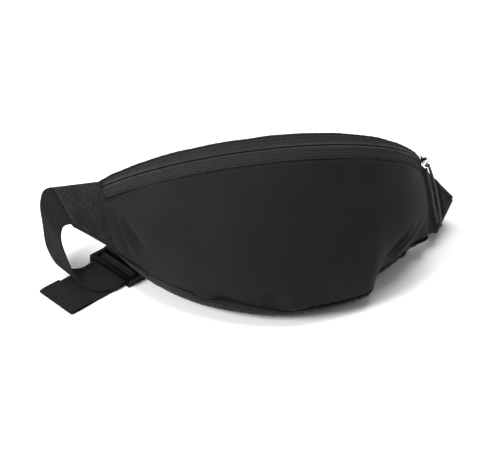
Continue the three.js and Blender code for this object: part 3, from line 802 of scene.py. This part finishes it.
def make_wings():
    for side, wing in WINGS.items():
        surface = wing_surface(wing)
        s, t = np.meshgrid(np.linspace(0, 1, 60), smooth_spread(64), indexing="ij")
        points = surface(s, t)
        normal = wing["facing"] * normals_of(surface, s, np.clip(t, 0.01, 0.99))
        height = wing_height(wing, surface, s, t, points)
        front = slab(f"wing_{side}_face", points + normal * height[..., None],
                     points + normal * 0.95, CORDURA)
        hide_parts(f"wing_{side}_front")
        plain = 1.2 + 1.4 * np.sqrt(np.clip(np.minimum.reduce([t, 1 - t, 1 - s]) * 15, 0, 1))
        back = slab(f"wing_{side}_lining", points - normal * 0.95,
                    points - normal * (plain + 0.2 * drift(points, 20, 33))[..., None], NYLON)
        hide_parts(f"wing_{side}_back")
        for k, row in enumerate(wing["rows"]):
            w = np.linspace(0, 1, 60)
            rs = row[0][0] + (row[1][0] - row[0][0]) * w
            rt = row[0][1] + (row[1][1] - row[0][1]) * w
            path = surface(rs, rt)
            out = wing["facing"] * normals_of(surface, rs, np.clip(rt, 0.01, 0.99))
            path = path + out * (wing_height(wing, surface, rs, rt, path) + 0.05)[:, None]
            # The wing's stitches use the thread with the painted highlight.
            stitches(f"wing_{side}_stitching_{k}", path, out, pitch=2.9, material=WING_THREAD_PAINTED_HIGHLIGHT)


# ---- webbing ------------------------------------------------------------------------------------

WEBBING_WIDTH = 40.0
WEBBING_THICKNESS = 1.6
HEADING = math.radians(31.8)
BUCKLE_START = V(-146.5, 52.4, 0)
ALONG = V(math.cos(HEADING), math.sin(HEADING), 0)
ACROSS = V(ALONG[1], -ALONG[0], 0)
TAIL_Z = 0.85
TAIL_END = -57
FOLD = 0.95


def flat(s, z):
    return BUCKLE_START + ALONG * s + V(0, 0, z), ACROSS


def station(x, y, z, hx, hy, hz):
    return V(x, y, z), V(hx, hy, hz)


def wing_station(side, s):
    corners = {
        "left": (V(-151.8, 92, 71.5), V(-139.5, 57, 19.5), V(-184.2, 107, 58.5), V(-173.2, 71, 43)),
        "right": (V(151.5, 88, 65), V(148, 45, 17.5), V(184, 84, 29), V(157.5, 54, 13.5)),
    }
    top, bottom, tip_top, tip_bottom = corners[side]
    upper, lower = mix(top, tip_top, s), mix(bottom, tip_bottom, s)
    return (upper + lower) / 2, lower - upper


def wing_fold(side, out, under):
    centre, half = wing_station(side, 1)
    outward = unit(centre - wing_station(side, 0)[0])
    behind = unit(np.cross(outward, half))
    return centre + outward * out + behind * under, half


def turn(bar_s, direction):
    angles = [math.radians(a) for a in (90, 60, 30, 0, -30, -60, -90)]
    return [flat(bar_s + direction * 2.75 * math.cos(a), 3.6 + 2.75 * math.sin(a))
            for a in angles]


LEFT_STRAP = [
    wing_station("left", 0.5), wing_station("left", 0.75), wing_station("left", 1),
    wing_fold("left", 2.2, 0),
    station(-186.5, 92.5, 46.5, 5.4, -17.5, -7), station(-189.5, 87, 38, 6, -17.3, -7),
    station(-188, 76, 26, 7, -18, -5), station(-184, 63, 12, 9, -17.5, -2.5),
    station(-174, 48, 4.5, 10, -17.3, -0.4), flat(-13, 3.1), flat(2, 3), flat(8.4, 3.5),
    *turn(14, 1),
    flat(6, TAIL_Z), flat(-25, TAIL_Z), flat(TAIL_END + 2, TAIL_Z),
    flat(TAIL_END - FOLD, TAIL_Z + FOLD), flat(TAIL_END + 2, TAIL_Z + 2 * FOLD),
    flat(TAIL_END + 20, TAIL_Z + 2 * FOLD),
]
RIGHT_STRAP = [
    wing_station("right", 0.5), wing_station("right", 0.75), wing_station("right", 1),
    wing_fold("right", 3.5, 1.2), wing_fold("right", 5, 3.4), wing_fold("right", 3, 6.4),
    station(164, 83, 10, -10.5, -15.6, -6), station(155, 83, 3.6, -8, -18, -2.4),
    station(141, 73, 0.85, -7, -18.7, 0), station(124, 58, 0.85, -2, -19.9, 0),
    station(98, 56, 0.85, -4, -19.6, 0), station(60, 66, 0.85, -6.8, -18.8, 0),
    station(28, 80, 6, -7.5, -17.5, -5.1), station(4, 96, 15.6, -6, -11.5, -14.8),
    station(-14, 109, 20.9, -1, -2, -19.9), station(-30, 115, 18.6, 2, -8, -17.6),
    station(-45, 113, 11.5, 7, -16, -9.4), flat(105, 3.2), flat(98, 3), flat(91.6, 3.5),
    *turn(86, -1),
    flat(94, TAIL_Z), flat(106, TAIL_Z),
]


def ribbon(name, stations, steps, body):
    """Webbing with rounded edges and shallow lengthwise ribs, swept along its stations."""
    half_width = WEBBING_WIDTH / 2
    middle = catmull([c for c, _ in stations], steps)
    edge = catmull([c + unit(h) * half_width for c, h in stations], steps)
    half = unit(edge - middle)
    normal = unit(np.cross(np.gradient(middle, axis=0), half))
    across = np.concatenate([[-1, -0.995, -0.98], np.linspace(-0.96, 0.96, 61), [0.98, 0.995, 1]])
    side = (1 - np.clip((np.abs(across) - 0.96) / 0.04, 0, 1) ** 2.2) ** 0.5
    relief = 0.07 * np.cos(across * half_width * 2 * np.pi / 1.6) * (np.abs(across) < 0.96)
    height = WEBBING_THICKNESS / 2 * np.clip(side, 0.25, 1) + relief - 0.05
    spread = middle[:, None] + half[:, None] * (across * half_width)[None, :, None]
    lift = normal[:, None] * height[None, :, None]
    outer, inner = spread + lift, spread - lift
    for layer in (outer, inner):
        layer[..., 2] = np.maximum(layer[..., 2], 0.0)
    piece = slab(name, outer, inner, WEBBING, body)
    return piece


def tail_stitching(name, s, z, body):
    w = np.linspace(-18.5, 18.5, 60)[:, None]
    path = flat(s, z)[0] + ACROSS * w
    stitches(name, path, np.tile(V(0, 0, 1), (60, 1)), body, pitch=2.6)


def make_straps():
    left = ribbon("belt_left", LEFT_STRAP, 520, None)
    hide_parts("strap_left", "strap_left_run")
    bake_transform(left)
    right = ribbon("belt_right", RIGHT_STRAP, 620, "pack")
    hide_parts("strap_right")
    for k, inset in enumerate((3.5, 17.5)):
        tail_stitching(f"tail_stitching_{k}", TAIL_END + inset, TAIL_Z + 2 * FOLD + 0.85,
                       "buckle_half")


# ---- end tab, stops, slider and buckle ----------------------------------------------------------

def make_tab():
    """A short piece of ribbed tape sewn over the wing's seam below the slider."""
    surface = wing_surface(WINGS["right"])
    s, t = np.meshgrid(np.linspace(0.02, 0.24, 12), np.linspace(0.42, 0.86, 160), indexing="ij")
    points = surface(s, t)
    normal = -normals_of(surface, s, t)
    length = np.linalg.norm(points[:, -1] - points[:, 0], axis=-1).mean()
    level = 4.0 + 0.28 * np.abs(np.sin((t - 0.42) / 0.44 * length * np.pi / 1.55))
    piece = slab("end_tab", points + normal * level[..., None], points + normal * 3.1, TAB)
    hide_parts("zip_end_tab")


def finish_hard_parts():
    looks = {"buckle_plug": (BUCKLE, 0.7), "buckle_socket": (BUCKLE, 0.7),
             "buckle_prong_front": (BUCKLE, 0.5), "buckle_prong_back": (BUCKLE, 0.5),
             "zip_slider": (ENAMEL, 0.2), "zip_stop_left": (COIL_PAINTED_SHEEN, 0.15),
             "zip_stop_right": (COIL_PAINTED_SHEEN, 0.15)}
    for node, (material, width) in looks.items():
        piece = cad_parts[node]
        piece.data.materials.clear()
        piece.data.materials.append(material)
        bevel = piece.modifiers.new("edges", "BEVEL")
        bevel.width = width * MM
        bevel.segments = 3
        bevel.limit_method = "ANGLE"
        bevel.angle_limit = math.radians(35)
    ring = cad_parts["zip_pull_ring"]
    ring.data.materials.clear()
    ring.data.materials.append(ENAMEL)
    rounding = ring.modifiers.new("round", "SUBSURF")
    rounding.levels = rounding.render_levels = 1


make_pouch()
make_seams()
make_zip()
make_wings()
make_straps()
make_tab()
finish_hard_parts()


# ---- floor and light ----------------------------------------------------------------------------

def make_floor():
    n = Nodes("floor", 0.9, specular=0.1)
    n.colour(n.noise(400.0), grey(0.93), grey(0.96))
    mesh = bpy.data.meshes.new("floor")
    mesh.from_pydata([(x, y, 0) for x, y in ((-4, -3), (4, -3), (4, 7), (-4, 7))], [],
                     [(0, 1, 2, 3)])
    mesh.materials.append(n.material)
    floor = bpy.data.objects.new("floor", mesh)
    bpy.context.scene.collection.objects.link(floor)


def area_light(name, position, size, power):
    data = bpy.data.lights.new(name, "AREA")
    data.shape = "DISK"
    data.size = size
    data.energy = power
    light = bpy.data.objects.new(name, data)
    aim = Vector((0, 0.02, 0.07)) - Vector(position)
    light.rotation_euler = aim.to_track_quat("-Z", "Y").to_euler()
    light.location = position
    bpy.context.scene.collection.objects.link(light)


WORLD_STRENGTH = 0.36


def make_light():
    world = bpy.data.worlds.new("studio")
    world.use_nodes = True
    background = world.node_tree.nodes["Background"]
    background.inputs["Color"].default_value = (1, 1, 1, 1)
    background.inputs["Strength"].default_value = WORLD_STRENGTH
    bpy.context.scene.world = world
    bpy.context.scene.view_settings.view_transform = "Standard"
    area_light("key", (-1.5, -0.45, 0.95), 0.7, 42)
    area_light("top", (0.1, 0.5, 1.9), 1.4, 34)


make_floor()
make_light()
